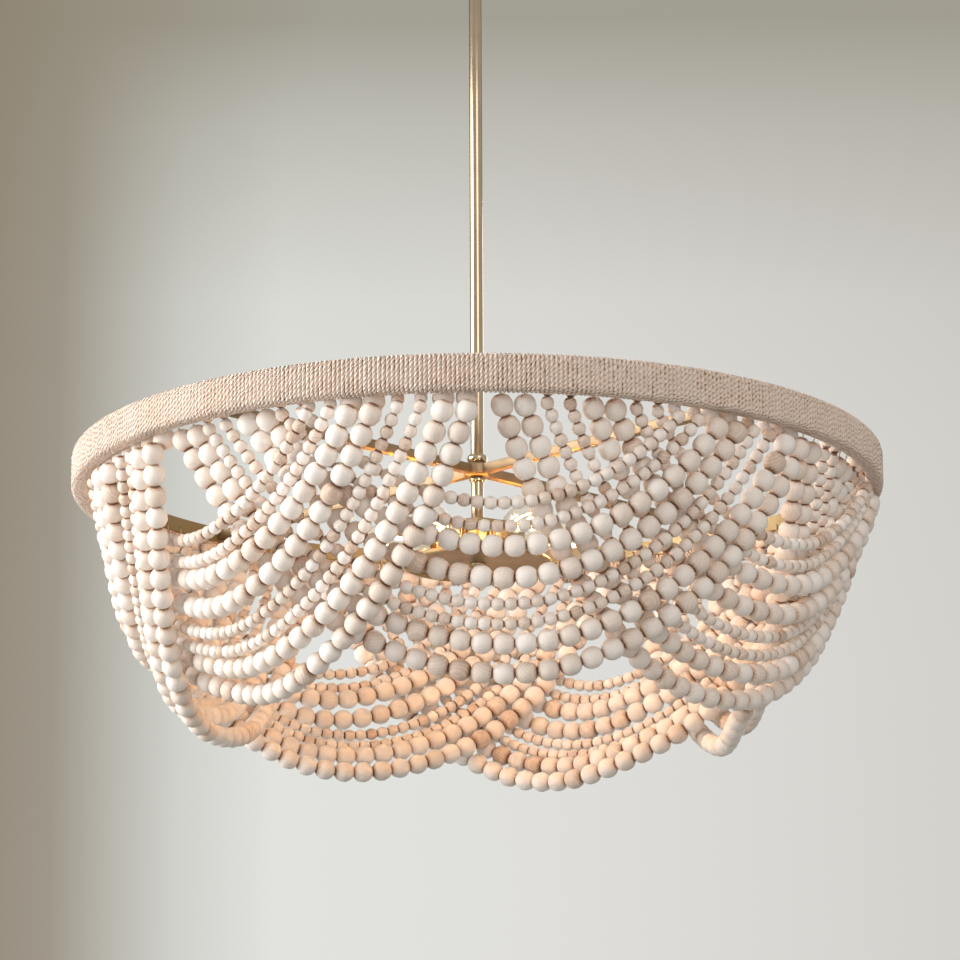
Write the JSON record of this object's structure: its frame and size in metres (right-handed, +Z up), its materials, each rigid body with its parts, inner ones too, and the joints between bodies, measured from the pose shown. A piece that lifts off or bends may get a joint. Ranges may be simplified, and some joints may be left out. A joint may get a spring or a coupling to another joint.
{
  "type": "beaded chandelier",
  "caption": "Round pendant chandelier: a cord-wound hoop on a stem, with swags of pale wooden beads that lap over each other into an open bowl round a lamp cluster.",
  "frame": {"origin": "middle of the canopy's rim, in the plane of the ceiling", "axes": "+Z up, towards the ceiling; +X to the right and -Y to the front, as the picture shows it"},
  "size_m": [0.762, 0.762, 0.8401],
  "materials": {
    "brass": "pale brushed brass",
    "band_brass": "satin golden brass",
    "socket_brass": "aged brass",
    "steel": "zinc plated",
    "bead_wood": "whitewashed, matt",
    "hoop_wood": "bare, covered by cord",
    "cord": "pale twisted cotton cord",
    "bulb_glass": "clear, with a lit filament"
  },
  "bodies": {
    "ceiling": {"canopy": "brass", "crossbar": "steel", "canopy_screw_left": "brass", "canopy_screw_right": "brass"},
    "swivel": {"swivel_neck": "brass", "neck_locknut": "steel", "tilt_pin": "steel"},
    "pendant": {"swivel_knuckle": "brass", "stem": "brass", "ball_collar": "brass", "hub": "brass", "washer_collar": "brass", "lower_stem": "brass", "cord_wrap": "cord", "hoop_core": "hoop_wood", "inner_band": "band_brass", "arm_back_right": "band_brass", "arm_screw_back_right": "steel", "arm_back_left": "band_brass", "arm_screw_back_left": "steel", "arm_front_left": "band_brass", "arm_screw_front_left": "steel", "arm_front_right": "band_brass", "arm_screw_front_right": "steel", "cluster_box": "brass", "cluster_cover": "brass", "finial": "brass", "socket_1": "socket_brass", "socket_2": "socket_brass", "socket_3": "socket_brass", "socket_4": "socket_brass", "socket_5": "socket_brass", "socket_6": "socket_brass", "bulb_1": "bulb_glass", "bulb_2": "bulb_glass", "bulb_3": "bulb_glass", "bulb_4": "bulb_glass", "bulb_5": "bulb_glass", "bulb_6": "bulb_glass", "swag_1_outer_rows": "bead_wood", "swag_1_inner_rows": "bead_wood", "swag_2_outer_rows": "bead_wood", "swag_2_inner_rows": "bead_wood", "swag_3_outer_rows": "bead_wood", "swag_3_inner_rows": "bead_wood", "swag_4_outer_rows": "bead_wood", "swag_4_inner_rows": "bead_wood", "swag_5_outer_rows": "bead_wood", "swag_5_inner_rows": "bead_wood", "swag_6_outer_rows": "bead_wood", "swag_6_inner_rows": "bead_wood", "swag_7_outer_rows": "bead_wood", "swag_7_inner_rows": "bead_wood"}
  },
  "joints": [
    {"name": "neck_turn", "type": "hinge", "parent": "ceiling", "child": "swivel", "pos_m": [0, 0, -0.0298], "axis": [0, 0, 1], "range_deg": [-170, 170]},
    {"name": "knuckle_tilt", "type": "hinge", "parent": "swivel", "child": "pendant", "pos_m": [0, 0, -0.0503], "axis": [1, 0, 0], "range_deg": [-30, 30]}
  ]
}
